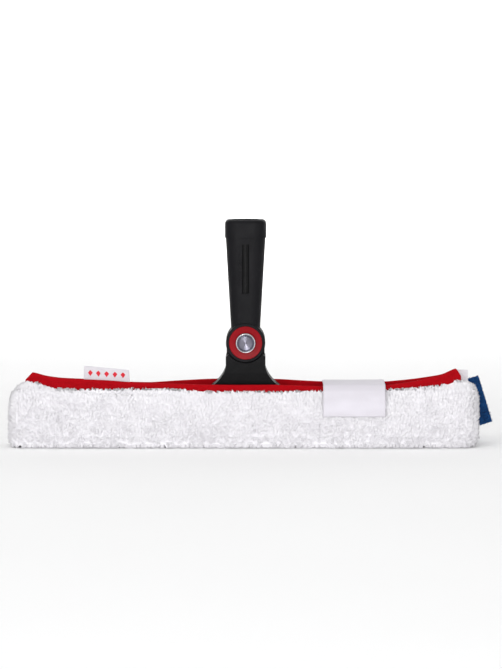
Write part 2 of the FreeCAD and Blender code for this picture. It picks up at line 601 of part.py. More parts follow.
# ---------------------------------------------------------------- build
def build():
    """Every sub-part by the name of its node."""
    front, rear = binding(-1, {}), binding(1, REAR_RISE)
    pad, side, care, patch, root = scrub_pad(), side_label(), care_label(), hook_patch(), flap_root()
    return {
        "grip_shell": grip_shell(),
        "grip_end_collar": grip_end_collar(),
        "pole_socket_liner": pole_socket_liner(),
        "red_button_ring": red_button_ring(),
        "rear_pivot_cap": rear_pivot_cap(),
        "pivot_pin": pivot_pin(),
        "front_thrust_washer": thrust_washer(-1),
        "rear_thrust_washer": thrust_washer(1),
        "button_cap": button_cap(),
        "button_stem": button_stem(),
        "lock_cog": lock_cog(),
        "return_spring": return_spring(),
        "foot_bracket": foot_bracket(),
        "foot_screws": foot_screws(),
        "t_bar": t_bar(),
        "left_bar_cap": bar_cap(-1),
        "right_bar_cap": bar_cap(1),
        "fleece_sleeve": fleece_sleeve((front, rear, pad, side, care, patch, root)),
        "front_binding": front,
        "rear_binding": rear,
        "hook_patch": patch,
        "flap_root": root,
        "flap_bridge": flap_bridge(),
        "flap_tab": flap_tab(),
        "side_label": side,
        "care_label": care.cut(rear),
        "scrub_pad": pad,
    }


def main():
    os.makedirs("parts", exist_ok=True)
    for name, shape in build().items():
        solids = shape.Solids
        sound = bool(solids) and all(solid.isValid() and solid.Volume > 0 for solid in solids)
        print(f"{name}: {len(solids)} solid(s), {shape.Volume:.1f} mm3, {'sound' if sound else 'BAD'}")
        shape.exportStep(f"parts/{name}.step")


main()
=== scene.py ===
"""The looks of a window washer: a fleece sleeve with red binding on a T-bar, under a black swivelling handle.

Metres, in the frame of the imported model: +X runs along the bar, -Y is the front and +Z is up.
"""

import json
import math

import bpy
import numpy as np
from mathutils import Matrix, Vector, noise


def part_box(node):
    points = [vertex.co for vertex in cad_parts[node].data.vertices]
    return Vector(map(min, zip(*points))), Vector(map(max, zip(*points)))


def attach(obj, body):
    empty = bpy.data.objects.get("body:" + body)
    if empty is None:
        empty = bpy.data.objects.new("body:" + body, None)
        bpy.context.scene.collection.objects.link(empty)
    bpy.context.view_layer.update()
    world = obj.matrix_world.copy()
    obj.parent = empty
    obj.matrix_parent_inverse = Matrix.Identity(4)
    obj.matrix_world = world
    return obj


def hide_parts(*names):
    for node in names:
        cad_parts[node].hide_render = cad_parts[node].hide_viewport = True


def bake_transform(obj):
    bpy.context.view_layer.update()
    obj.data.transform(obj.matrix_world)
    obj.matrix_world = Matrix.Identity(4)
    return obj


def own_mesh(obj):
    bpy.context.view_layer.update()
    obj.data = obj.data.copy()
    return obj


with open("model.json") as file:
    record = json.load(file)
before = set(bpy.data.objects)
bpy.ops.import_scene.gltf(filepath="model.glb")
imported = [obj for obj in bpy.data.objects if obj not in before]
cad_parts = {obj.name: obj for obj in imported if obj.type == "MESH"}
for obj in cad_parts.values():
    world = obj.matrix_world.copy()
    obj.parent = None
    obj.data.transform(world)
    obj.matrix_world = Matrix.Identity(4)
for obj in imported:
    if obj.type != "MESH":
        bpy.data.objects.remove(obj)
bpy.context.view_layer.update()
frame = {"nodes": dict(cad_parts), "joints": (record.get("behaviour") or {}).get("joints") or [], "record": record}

MM = 0.001
JOINTS = {joint["name"]: joint for joint in frame["joints"]}
PIVOT = np.array(JOINTS["handle_swivel"]["pos_m"])
FLAP_HINGE = np.array(JOINTS["flap_peel"]["pos_m"])
FLAP_CORNER = np.array(JOINTS["flap_tab_fold"]["pos_m"])
UP = np.array((0.0, 0.0, 1.0))


# ---------------------------------------------------------------- reading the frame
def box(node):
    low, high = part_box(node)
    return np.array(low), np.array(high)


def node_points(node):
    vertices = frame["nodes"][node].data.vertices
    points = np.empty(len(vertices) * 3)
    vertices.foreach_get("co", points)
    return points.reshape(-1, 3)


def rim_stations(node):
    """(x, y of the middle, height of the top edge) at each full section of a binding's CAD solid."""
    points = node_points(node)
    foot = points[:, 2].min() + 0.1 * MM
    stations = []
    for x in np.unique(points[points[:, 2] < foot, 0].round(4)):
        there = points[np.abs(points[:, 0] - x) < 0.1 * MM]
        stations.append((x, (there[:, 1].min() + there[:, 1].max()) / 2, there[:, 2].max()))
    return np.array(stations)


def slab_corners(node):
    """(x, z) of the four corners of a thin slab that faces the front, from the top left and clockwise."""
    points = node_points(node)[:, [0, 2]]
    middle = points.mean(axis=0)
    found = []
    for sx, sz in ((-1, 1), (1, 1), (1, -1), (-1, -1)):
        found.append(points[np.argmax((points - middle) @ np.array((sx, sz)))])
    return np.array(found)


def between_corners(corners, u, v):
    """(x, z) at the share u of the way to the right and v of the way down between four corners."""
    top_left, top_right, bottom_right, bottom_left = corners
    top = top_left + (top_right - top_left) * u
    bottom = bottom_left + (bottom_right - bottom_left) * u
    return top + (bottom - top) * v


def outline_size(corners):
    """Width along the top and height along the left side of a slab's outline."""
    top_left, top_right, _, bottom_left = corners
    return np.linalg.norm(top_right - top_left), np.linalg.norm(bottom_left - top_left)


# ---------------------------------------------------------------- small tools
def eased(values, width):
    """Values smoothed along their row, with the ends held."""
    reach = int(3 * width)
    kernel = np.exp(-0.5 * (np.arange(-reach, reach + 1) / width) ** 2)
    kernel /= kernel.sum()
    first, last = values[0], values[-1]
    before = first - (values[1:reach + 1][::-1] - first)
    after = last - (values[-reach - 1:-1][::-1] - last)
    return np.convolve(np.concatenate((before, values, after)), kernel, mode="valid")


def wander(points, scale, seed=0.0):
    """Smooth noise from -1 to 1 at each point, whose features are about scale long."""
    return np.array([noise.noise(Vector(p) / scale + Vector((seed, 1.7 * seed, -seed))) for p in points])


def wander_line(xs, scale, seed=0.0):
    return wander(np.column_stack((xs, np.zeros_like(xs), np.zeros_like(xs))), scale, seed)


def unit(vectors):
    return vectors / np.maximum(np.linalg.norm(vectors, axis=-1, keepdims=True), 1e-9)


def grid_faces(rows, columns, columns_closed=False):
    faces = []
    for i in range(rows - 1):
        for j in range(columns if columns_closed else columns - 1):
            k = (j + 1) % columns
            faces.append((i * columns + j, i * columns + k, (i + 1) * columns + k, (i + 1) * columns + j))
    return faces


def add_mesh(name, vertices, faces, material, smooth=True):
    mesh = bpy.data.meshes.new(name)
    mesh.from_pydata(np.asarray(vertices).reshape(-1, 3).tolist(), [], faces)
    mesh.validate()
    mesh.polygons.foreach_set("use_smooth", [smooth] * len(mesh.polygons))
    mesh.materials.append(material)
    mesh.update()
    piece = bpy.data.objects.new(name, mesh)
    bpy.context.scene.collection.objects.link(piece)
    return piece


def add_modifier(piece, kind, **settings):
    modifier = piece.modifiers.new(kind.lower(), kind)
    for key, value in settings.items():
        setattr(modifier, key, value)


def apply_modifiers(piece):
    bpy.context.view_layer.update()
    evaluated = piece.evaluated_get(bpy.context.evaluated_depsgraph_get())
    mesh = bpy.data.meshes.new_from_object(evaluated)
    piece.modifiers.clear()
    piece.data = mesh


def settle(piece, body, slot, *nodes):
    """Hands a finished piece to its body and hides the CAD nodes it stands for; a blend has no body. Its slot is
    not used.
    """
    if body:
        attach(piece, body)
    if nodes:
        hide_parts(*nodes)
    return piece


def swept(name, rings, material):
    """Closed tube through rings of points, with both ends capped."""
    rings = np.asarray(rings)
    count, sides = rings.shape[:2]
    faces = grid_faces(count, sides, columns_closed=True)
    faces.append(tuple(range(sides))[::-1])
    faces.append(tuple((count - 1) * sides + k for k in range(sides)))
    return add_mesh(name, rings, faces, material)


def strands(name, spines, shares, radii, material, sides=3):
    """Many tapered strands as one mesh: spines are the centres of each ring and then the tips."""
    count, rings = len(radii), len(spines) - 1
    along = unit(spines[-1] - spines[0])
    helper = np.where(np.abs(along[:, 2:3]) < 0.8, UP, np.array((1.0, 0.0, 0.0)))
    across = unit(np.cross(along, helper))
    other = np.cross(along, across)
    turns = 2 * math.pi * np.arange(sides) / sides
    cosines, sines = np.cos(turns)[None, :, None], np.sin(turns)[None, :, None]
    spokes = cosines * across[:, None, :] + sines * other[:, None, :]
    layers = [centre[:, None, :] + (radii * share)[:, None, None] * spokes
              for centre, share in zip(spines, shares)]
    vertices = np.concatenate((*layers, spines[-1][:, None, :]), axis=1)
    tip = rings * sides
    pattern = [tuple(range(sides))[::-1]]
    for first in range(0, tip - sides, sides):
        pattern += [(first + k, first + (k + 1) % sides, first + sides + (k + 1) % sides, first + sides + k)
                    for k in range(sides)]
    pattern += [(tip - sides + k, tip - sides + (k + 1) % sides, tip) for k in range(sides)]
    starts = range(0, count * (tip + 1), tip + 1)
    faces = [tuple(index + start for index in face) for start in starts for face in pattern]
    return add_mesh(name, vertices, faces, material)


# ---------------------------------------------------------------- materials
class Nodes:
    """A material's nodes, with short ways to add and join them."""

    def __init__(self, name):
        self.material = bpy.data.materials.new(name)
        self.material.use_nodes = True
        self.tree = self.material.node_tree
        self.shader = self.tree.nodes["Principled BSDF"]
        self.place = self.add("ShaderNodeTexCoord").outputs["Object"]

    def add(self, kind, inputs=None, **settings):
        node = self.tree.nodes.new(kind)
        for key, value in settings.items():
            setattr(node, key, value)
        for key, value in (inputs or {}).items():
            self.put(node.inputs[key], value)
        return node

    def put(self, socket, value):
        if isinstance(value, bpy.types.NodeSocket):
            self.tree.links.new(value, socket)
        else:
            socket.default_value = value

    def scaled(self, size):
        """Object coordinates in units of size metres, one size or one for each of X, Y and Z."""
        scale = tuple(1 / s for s in (size if isinstance(size, tuple) else (size,) * 3))
        return self.add("ShaderNodeMapping", {"Vector": self.place, "Scale": scale}).outputs["Vector"]

    def noise(self, size, detail=3.0, rough=0.55):
        inputs = {"Vector": self.scaled(size), "Scale": 1.0, "Detail": detail, "Roughness": rough}
        return self.add("ShaderNodeTexNoise", inputs).outputs["Fac"]

    def cells(self, size):
        inputs = {"Vector": self.scaled(size), "Scale": 1.0}
        return self.add("ShaderNodeTexVoronoi", inputs, feature="F1").outputs["Distance"]

    def vector(self, operation, a, b=(0.0, 0.0, 0.0)):
        return self.add("ShaderNodeVectorMath", {0: a, 1: b}, operation=operation).outputs

    def math(self, operation, a, b=0.0):
        return self.add("ShaderNodeMath", {0: a, 1: b}, operation=operation).outputs[0]

    def mixed(self, factor, first, second):
        node = self.add("ShaderNodeMix", data_type="RGBA")
        self.put(node.inputs[0], factor)
        self.put(node.inputs[6], first)
        self.put(node.inputs[7], (*second, 1.0))
        return node.outputs[2]

    def ramp(self, factor, *stops):
        """Colours or greys by factor: stops are (position, colour)."""
        node = self.add("ShaderNodeValToRGB", {"Fac": factor})
        elements = node.color_ramp.elements
        while len(elements) < len(stops):
            elements.new(1.0)
        for element, (position, colour) in zip(elements, stops):
            element.position = position
            element.color = (*colour, 1.0) if isinstance(colour, tuple) else (colour, colour, colour, 1.0)
        return node.outputs["Color"]

    def bump(self, height, depth, strength=1.0, under=None):
        """Bump of a real depth in metres; under is a normal to build on."""
        inputs = {"Height": height, "Distance": depth, "Strength": strength}
        if under is not None:
            inputs["Normal"] = under
        return self.add("ShaderNodeBump", inputs).outputs["Normal"]

    def finish(self, **inputs):
        for key, value in inputs.items():
            self.put(self.shader.inputs[key.replace("_", " ")], value)
        return self.material


def moulded_plastic(name, dark, light, rough, grain=0.45 * MM, depth=0.03 * MM, gloss=0.13):
    """Plastic with the fine spark-eroded grain of its mould, faint flow marks and softened edges."""
    nodes = Nodes(name)
    soft = nodes.add("ShaderNodeBevel", {"Radius": 0.35 * MM}, samples=4).outputs["Normal"]
    flow = nodes.noise((14 * MM, 14 * MM, 40 * MM), 2.0)
    grained = nodes.bump(nodes.noise(grain, 4.0, 0.65), depth, 0.8, soft)
    waved = nodes.bump(flow, 0.25 * MM, 0.35, grained)
    wear = nodes.noise(6 * MM, 5.0, 0.7)
    roughness = nodes.ramp(wear, (0.35, rough - 0.05), (0.65, rough + 0.06))
    colour = nodes.ramp(flow, (0.3, dark), (0.7, light))
    return nodes.finish(Base_Color=colour, Roughness=roughness, Normal=waved, Specular_IOR_Level=gloss)


TURNING_PITCH, CAP_RADIUS = 0.5 * MM, 7.2 * MM


def turned_steel():
    """Face turned on a lathe: fine rings about the swivel axis that pull the highlights into a bow tie."""
    nodes = Nodes("turned_steel")
    centred = nodes.vector("SUBTRACT", nodes.place, tuple(PIVOT))[0]
    flat = nodes.vector("MULTIPLY", centred, (1.0, 0.0, 1.0))[0]
    radius = nodes.vector("LENGTH", flat)["Value"]
    turns = nodes.math("SINE", nodes.math("MULTIPLY", radius, 2 * math.pi / TURNING_PITCH))
    uneven = nodes.noise(1.6 * MM, 3.0)
    tangent = nodes.add("ShaderNodeTangent", direction_type="RADIAL", axis="Y").outputs["Tangent"]
    share = nodes.math("MULTIPLY", radius, 1 / CAP_RADIUS)
    # Base colours by share of the radius: the dish, step, groove and foot are painted far darker than steel, as a
    # painted dark reflection on the face and painted shade in the groove and at its foot; the rim keeps about a
    # steel's own brightness.
    dish, groove = (0.3, (0.17, 0.165, 0.20)), (0.74, (0.08, 0.08, 0.105))
    step, foot, rim = (0.6, (0.15, 0.145, 0.18)), (0.86, (0.10, 0.10, 0.125)), (0.93, (0.66, 0.66, 0.69))
    return nodes.finish(
        Base_Color=nodes.ramp(share, dish, step, groove, foot, rim),
        Metallic=1.0,
        Roughness=0.3,
        Anisotropic=0.85,
        Anisotropic_Rotation=0.25,
        Tangent=tangent,
        Normal=nodes.bump(nodes.math("MULTIPLY", turns, uneven), 0.02 * MM, 0.4),
    )


def plated_steel():
    nodes = Nodes("plated_steel")
    worn = nodes.noise(1.2 * MM, 5.0, 0.7)
    return nodes.finish(
        Base_Color=nodes.ramp(worn, (0.3, (0.40, 0.41, 0.42)), (0.7, (0.56, 0.56, 0.57))),
        Metallic=1.0,
        Roughness=nodes.ramp(worn, (0.3, 0.22), (0.7, 0.4)),
        Normal=nodes.bump(worn, 0.02 * MM, 0.5),
    )


def fleece_pile(name, light, shade):
    """Dense microfibre pile: very matt and white, with painted shade that makes it a little darker between its
    locks.
    """
    nodes = Nodes(name)
    locks = nodes.noise(3.2 * MM, 4.0, 0.6)
    fibres = nodes.noise((0.35 * MM, 0.35 * MM, 1.6 * MM), 3.0)
    return nodes.finish(
        Base_Color=nodes.ramp(locks, (0.32, shade), (0.6, light)),
        Roughness=0.95,
        Specular_IOR_Level=0.1,
        Sheen_Weight=0.2,
        Sheen_Roughness=0.6,
        Normal=nodes.bump(fibres, 0.12 * MM, 0.4),
    )


def woven_tape(name, dark, light, pitch=0.9 * MM, sheen=0.03):
    """Plain woven tape: warp and weft threads crossing, with a slubby colour."""
    nodes = Nodes(name)
    threads = []
    for axis in ("X", "Z"):
        inputs = {"Vector": nodes.scaled(pitch), "Scale": 0.35, "Distortion": 1.2, "Detail": 1.0}
        wave = nodes.add("ShaderNodeTexWave", inputs, bands_direction=axis)
        threads.append(wave.outputs["Fac"])
    weave = nodes.math("MAXIMUM", *threads)
    slub = nodes.noise((5 * MM, 5 * MM, 1.4 * MM), 4.0, 0.65)
    mixed = nodes.math("ADD", nodes.math("MULTIPLY", weave, 0.35), nodes.math("MULTIPLY", slub, 0.65))
    return nodes.finish(
        Base_Color=nodes.ramp(mixed, (0.3, dark), (0.72, light)),
        Roughness=0.85,
        Specular_IOR_Level=0.06,
        Sheen_Weight=sheen,
        Normal=nodes.bump(weave, 0.12 * MM, 0.6),
    )


PAINTED_SHADE_FROM, PAINTED_SHADE_TO = 42.4 * MM, 44.4 * MM  # heights between which painted shade greys the flap's face where it leans back over its fold


def brushed_tape(name, dark, light):
    """Loop tape with a short brushed nap, with painted shade: greyer where it leans back over its fold and darker
    in the hollows of its folds.
    """
    nodes = Nodes(name)
    height = nodes.add("ShaderNodeSeparateXYZ", {0: nodes.place}).outputs["Z"]
    # painted shade: between these heights the face's colour turns to a grey a little darker than its dark tone
    span = {0: height, 1: PAINTED_SHADE_FROM, 2: PAINTED_SHADE_TO, 3: 0.0, 4: 1.0}
    painted_fold_shade = nodes.add("ShaderNodeMapRange", span).outputs[0]
    nap = nodes.noise((0.5 * MM, 0.5 * MM, 0.8 * MM), 5.0, 0.7)
    folds = nodes.noise((22 * MM, 22 * MM, 9 * MM), 1.0)
    # the nap's fine tone is the tape's own; the tone that follows the folds' bump is painted shade in their
    # hollows
    tone = nodes.math("ADD", nodes.math("MULTIPLY", nap, 0.4), nodes.math("MULTIPLY", folds, 0.6))
    face = nodes.ramp(tone, (0.35, dark), (0.65, light))
    return nodes.finish(
        Base_Color=nodes.mixed(painted_fold_shade, face, tuple(0.97 * c for c in dark)),
        Roughness=0.85,
        Specular_IOR_Level=0.2,
        Sheen_Weight=0.2,
        Normal=nodes.bump(folds, 0.6 * MM, 0.3, nodes.bump(nap, 0.12 * MM, 0.6)),
    )


def scouring_web():
    """Open nonwoven web of blue fibres; painted shade darkens the gaps between them and the low parts of its
    tangle.
    """
    nodes = Nodes("scouring_web")
    tangle = nodes.noise(1.3 * MM, 6.0, 0.75)
    gap_shade_cells = nodes.cells(1.1 * MM)
    mixed = nodes.math("MULTIPLY", tangle, nodes.math("SUBTRACT", 1.25, gap_shade_cells))
    # the ramp runs from painted shade in the gaps and the tangle's low parts, through the web's own blue, to a
    # lighter blue where the tangle stands high, which is painted light
    painted_gap_shade, middle, top = (0.004, 0.026, 0.10), (0.010, 0.068, 0.22), (0.025, 0.14, 0.38)
    return nodes.finish(
        Base_Color=nodes.ramp(mixed, (0.18, painted_gap_shade), (0.45, middle), (0.8, top)),
        Roughness=0.7,
        Specular_IOR_Level=0.12,
        Normal=nodes.bump(tangle, 0.5 * MM, 0.8),
    )


def stage_paint():
    nodes = Nodes("stage_paint")
    mottled = nodes.ramp(nodes.noise(0.4, 2.0), (0.3, 0.93), (0.7, 0.95))
    return nodes.finish(Base_Color=mottled, Roughness=0.95, Specular_IOR_Level=0.0)


MATERIALS = {
    "grip_plastic": moulded_plastic("grip_plastic", (0.0035, 0.0034, 0.0046), (0.0058, 0.0056, 0.0074), 0.48),
    "foot_plastic": moulded_plastic("foot_plastic", (0.0032, 0.0032, 0.0037), (0.0050, 0.0050, 0.0057), 0.52),
    "liner_plastic": moulded_plastic("liner_plastic", (0.003, 0.003, 0.0035), (0.005, 0.005, 0.006), 0.4),
    "bar_plastic": moulded_plastic("bar_plastic", (0.014, 0.014, 0.015), (0.020, 0.020, 0.022), 0.5),
    "red_plastic": moulded_plastic(
        "red_plastic", (0.23, 0.001, 0.005), (0.29, 0.002, 0.007), 0.36, 0.3 * MM, 0.012 * MM, 0.12
    ),
    "washer_plastic": moulded_plastic("washer_plastic", (0.66, 0.65, 0.62), (0.72, 0.71, 0.68), 0.45),
    "button_steel": turned_steel(),
    "pin_steel": plated_steel(),
    # fleece: its white, and the painted shade between its locks
    "fleece": fleece_pile("fleece", (0.95, 0.935, 0.965), (0.91, 0.893, 0.93)),
    "red_tape": woven_tape("red_tape", (0.29, 0.001, 0.004), (0.42, 0.002, 0.007)),
    "red_thread": woven_tape("red_thread", (0.55, 0.02, 0.03), (0.75, 0.04, 0.06), 0.4 * MM, 0.3),
    "white_tape": brushed_tape("white_tape", (0.64, 0.615, 0.665), (0.73, 0.705, 0.765)),
    "hook_tape": brushed_tape("hook_tape", (0.48, 0.47, 0.50), (0.57, 0.56, 0.59)),
    "label_cloth": woven_tape("label_cloth", (0.62, 0.60, 0.64), (0.75, 0.73, 0.77), 0.45 * MM, 0.3),
    "scouring_web": scouring_web(),
}


def dress_cad_nodes():
    """Gives each CAD node the material of its slot."""
    for entry in frame["record"]["subparts"]:
        node = frame["nodes"][entry["node"]]
        material = MATERIALS[entry["material_slot"]]
        if not node.material_slots:
            node.data.materials.append(material)
        for slot in node.material_slots:
            slot.material = material


# ---------------------------------------------------------------- fleece sleeve
PILE_DEPTH = 1.7 * MM  # how far the backing lies inside the outline that the pile fills
VOXEL = 1.05 * MM
FOOT_HEIGHT, FOOT_SPREAD, FOOT_DROP = 4.5 * MM, 2.2 * MM, 0.6 * MM  # how the sleeve settles on the floor
CLOTH_CLEARANCE, LOCK_CLEARANCE = 0.4 * MM, 0.25 * MM  # above the floor
KEPT_UNDER_FLAP, KEPT_UNDER_PAD = 0.3, 0.35  # shares of its length that pressed pile keeps
LOCK_PITCH, STRANDS = 1.95 * MM, 4
LOCK_LENGTH, LOCK_SPREAD, LOCK_ROOT = 2.7 * MM, 0.55 * MM, 0.7 * MM  # the root lies inside the cloth
STRAND_RADIUS = 0.55 * MM
STANDING, SWIRL, SCATTER = 0.8, 0.5, 0.12  # weights of a lock's heading
RIM_LOCKS, RIM_LENGTH = 1900, 0.62  # and the share of its length that a lock on the rim keeps
CLIMB_FROM, CLIMB_HEIGHT, TUFT_HEIGHT = -0.128, 6.0 * MM, 2.6 * MM  # how pile covers a binding's foot
CREST_PILE, CREST_PILE_MORE = 1.1 * MM, 1.4 * MM  # least length of the pile on the crest, and what noise adds
PILE_BELOW_CREST = 1.5 * MM
OWN_SHADE, CLOTH_SHADE, LOWEST_FACING = 0.2, 0.9, -0.15  # how a strand's shading follows the cloth's
CREST_LINE = (  # (x, how far the sleeve's crest lies above the top of the bar), mm
    (-176, -2.0), (-170, 1.4), (-163, 7.6), (-157, 6.0), (-150, 3.3), (-140, 0.2), (-90, -0.9), (-40, -0.7),
    (20, 0.2), (32, 1.8), (100, 2.2), (125, 2.4), (143, 4.6), (158, 7.0), (166, 6.0),
)


def bar_hollow():
    """Half sizes and middle of the space that the bar and its caps fill inside the sleeve."""
    bar_low, bar_high = box("t_bar")
    reach = box("right_bar_cap")[1][0]
    middle = np.array((0.0, 0.0, (bar_low[2] + bar_high[2]) / 2))
    half = np.array((reach, bar_high[1], (bar_high[2] - bar_low[2]) / 2))
    return middle, half


def beyond_bar(points):
    """How far each point lies outside the space that the bar fills; negative inside it."""
    middle, half = bar_hollow()
    return (np.abs(points - middle) - half).max(axis=1)


def crest_at(xs):
    """Height of the crest of the cloth along the sleeve: it is drawn up towards the ends."""
    middle, half = bar_hollow()
    line = np.array(CREST_LINE) * MM
    return middle[2] + half[2] + np.interp(xs, line[:, 0], line[:, 1])


def fleece_backing():
    """Backing of the sleeve: the CAD solid, softened, drawn in by the depth of the pile and lumpy."""
    source = frame["nodes"]["fleece_sleeve"]
    piece = bpy.data.objects.new("fleece_backing", source.data.copy())
    bpy.context.scene.collection.objects.link(piece)
    add_modifier(piece, "REMESH", mode="VOXEL", voxel_size=VOXEL)
    add_modifier(piece, "SMOOTH", factor=0.5, iterations=6)
    apply_modifiers(piece)
    mesh = piece.data
    mesh.materials.clear()
    mesh.materials.append(MATERIALS["fleece"])
    mesh.polygons.foreach_set("use_smooth", [True] * len(mesh.polygons))
    points, normals = np.empty(len(mesh.vertices) * 3), np.empty(len(mesh.vertices) * 3)
    mesh.vertices.foreach_get("co", points)
    mesh.vertices.foreach_get("normal", normals)
    points, normals = points.reshape(-1, 3), normals.reshape(-1, 3)
    outside = np.clip((beyond_bar(points) - 0.8 * MM) / (1.6 * MM), 0, 1)
    lumps = 0.3 * wander(points, 4.5 * MM, 3.0) + 0.2 * wander(points, 2.2 * MM, 5.0)
    shift = outside * (-PILE_DEPTH + lumps * MM)
    points = points + normals * shift[:, None]
    off_centre = np.clip(np.abs(points[:, 1]) / (9 * MM), 0, 1)
    near_floor = np.exp(-((points[:, 2] / FOOT_HEIGHT) ** 2)) * off_centre
    points[:, 1] += outside * FOOT_SPREAD * near_floor * np.sign(points[:, 1])
    points[:, 2] -= outside * FOOT_DROP * near_floor
    points[:, 2] = np.maximum(points[:, 2], CLOTH_CLEARANCE)
    crest = crest_at(points[:, 0])
    flattened = np.minimum(points[:, 2], crest + (points[:, 2] - crest) * 0.15)
    points[:, 2] += outside * (flattened - points[:, 2]) * (points[:, 2] > crest)
    mesh.vertices.foreach_set("co", points.ravel())
    mesh.update()
    return settle(piece, "head", "fleece", "fleece_sleeve")


def pressed(points):
    """Share of its length that the pile keeps: it is flattened under the flap and under the scouring pad."""
    keep = np.ones(len(points))
    tab_low, tab_high = box("flap_tab")
    root_low, _ = box("flap_root")
    pad_low, _ = box("scrub_pad")
    x, y, z = points.T
    beside_flap = (x > tab_low[0] - 0.6 * MM) & (x < tab_high[0] + 0.6 * MM)
    keep[beside_flap & (y < 0) & (z > tab_low[2] + 0.8 * MM)] = KEPT_UNDER_FLAP
    keep[beside_flap & (y > 0) & (z > root_low[2])] = KEPT_UNDER_FLAP
    keep[(x > pad_low[0]) & (y > pad_low[1] - 4 * MM) & (z > pad_low[2])] = KEPT_UNDER_PAD
    return keep


def lock_roots(backing):
    """Places and normals on the outside of the backing, evenly spread."""
    mesh = backing.data
    centres, normals = np.empty(len(mesh.polygons) * 3), np.empty(len(mesh.polygons) * 3)
    mesh.polygons.foreach_get("center", centres)
    mesh.polygons.foreach_get("normal", normals)
    centres, normals = centres.reshape(-1, 3), normals.reshape(-1, 3)
    middle, half = bar_hollow()
    stations = rim_stations("front_binding")
    offset = np.interp(centres[:, 0], stations[:, 0], stations[:, 1])
    in_opening = (np.abs(centres[:, 1]) < np.abs(offset) + 1.3 * MM) & (centres[:, 2] > middle[2])
    in_opening &= np.abs(centres[:, 0]) < half[0] - 6 * MM
    outward = ((centres - middle) * normals).sum(axis=1) > 0
    found = np.flatnonzero((beyond_bar(centres) > 0.3 * MM) & outward & ~in_opening)
    found = np.random.default_rng(11).permutation(found)
    cells = np.floor(centres[found] / LOCK_PITCH).astype(int)
    _, first = np.unique(cells, axis=0, return_index=True)
    picked = found[first]
    return centres[picked], normals[picked]


def rim_roots():
    """More places for locks: over the foot of each binding, and higher up it at the left end."""
    rng = np.random.default_rng(13)
    places, facing = [], []
    for node in ("front_binding", "rear_binding"):
        xs, y, top, side = rim_curve(node)
        x = rng.uniform(xs[0] - 0.5 * MM, xs[-1] - 2 * MM, RIM_LOCKS)
        climb = CLIMB_HEIGHT * np.clip((CLIMB_FROM - x) / (CLIMB_FROM - xs[0]), 0, 1) ** 1.4
        climb = climb + TUFT_HEIGHT * np.clip(wander_line(x, 9 * MM, side * 15.0), 0, 1)
        z = RIM_LOW - 2.8 * MM + rng.random(RIM_LOCKS) * (0.7 * MM + climb)
        rarer = rng.random(RIM_LOCKS) < 0.6 + 0.4 * np.clip(climb / (1.5 * MM), 0, 1)
        clear = (z < np.interp(x, xs, top) - 1.2 * MM) & rarer
        out = np.interp(x, xs, y) + side * TAPE_HALF
        places.append(np.column_stack((x, out, z))[clear])
        facing.append(np.tile((0.0, side, 0.0), (clear.sum(), 1)))
    return np.concatenate(places), np.concatenate(facing)


def fleece_locks(backing):
    """The pile: locks of tapered strands that stand out from the backing and lean up towards the rim."""
    (centres, normals), (rim_centres, rim_normals) = lock_roots(backing), rim_roots()
    on_rim = np.arange(len(centres) + len(rim_centres)) >= len(centres)
    centres, normals = np.concatenate((centres, rim_centres)), np.concatenate((normals, rim_normals))
    count = len(centres)
    rng = np.random.default_rng(12)
    lean = UP - normals * (normals @ UP)[:, None]
    sideways = np.column_stack((np.zeros(count), np.sign(centres[:, 1]), np.zeros(count)))
    lean = unit(np.where(np.linalg.norm(lean, axis=1)[:, None] > 0.35, lean, sideways))
    swirl = np.column_stack([wander(centres, 11 * MM, seed) for seed in (21, 22, 23)])
    brushed = np.interp(centres[:, 2], (2 * MM, 7 * MM), (-0.35, 0.6))[:, None]
    scatter = rng.normal(0, SCATTER, centres.shape)
    heading = unit(normals * STANDING + lean * brushed + swirl * SWIRL + scatter)
    uneven = 1 + 0.2 * wander(centres, 6 * MM, 31) + rng.normal(0, 0.09, count)
    reach = LOCK_LENGTH * pressed(centres) * uneven
    reach[on_rim] *= RIM_LENGTH
    pile_top = crest_at(centres[:, 0]) - PILE_BELOW_CREST + 1.1 * MM * wander(centres, 3.5 * MM, 33)
    headroom = pile_top - centres[:, 2]
    shortest = CREST_PILE + CREST_PILE_MORE * np.clip(wander(centres, 5 * MM, 34), 0, 1)
    rising = (heading[:, 2] > 0.15) & ~on_rim
    reach[rising] = np.minimum(reach[rising], np.maximum(headroom, shortest)[rising] / heading[rising, 2])
    across = unit(np.cross(heading, UP + 0.01))
    other = np.cross(heading, across)
    parts = []
    for strand in range(STRANDS):
        turn = 2 * math.pi * (strand + 0.5 * rng.random(count)) / STRANDS
        spoke = np.cos(turn)[:, None] * across + np.sin(turn)[:, None] * other
        roots = centres + spoke * LOCK_SPREAD - heading * LOCK_ROOT
        length = (reach * rng.uniform(0.78, 1.08, count))[:, None] + LOCK_ROOT
        mids = centres + spoke * LOCK_SPREAD * 1.15 + heading * length * 0.4
        mids += rng.normal(0, 0.12 * MM, centres.shape)
        tips = centres + spoke * LOCK_SPREAD * 0.45 + heading * length
        tips += rng.normal(0, 0.22 * MM, centres.shape)
        parts.append((roots, mids, tips, STRAND_RADIUS * rng.uniform(0.8, 1.15, count)))
    roots, mids, tips, radii = (np.concatenate(part) for part in zip(*parts))
    facing = np.tile(normals, (STRANDS, 1))
    for points in (roots, mids, tips):
        points[:, 2] = np.maximum(points[:, 2], LOCK_CLEARANCE)
    pieces = []
    quarter = np.digitize(roots[:, 0], np.quantile(roots[:, 0], (0.25, 0.5, 0.75)))
    for index in range(4):
        chosen = quarter == index
        spines = (roots[chosen], mids[chosen], tips[chosen])
        piece = strands(f"fleece_pile_{index + 1}", spines, (1.0, 0.95), radii[chosen], MATERIALS["fleece"])
        shade_as_pile(piece, facing[chosen], 7)
        pieces.append(settle(piece, "head", "fleece"))
    return pieces


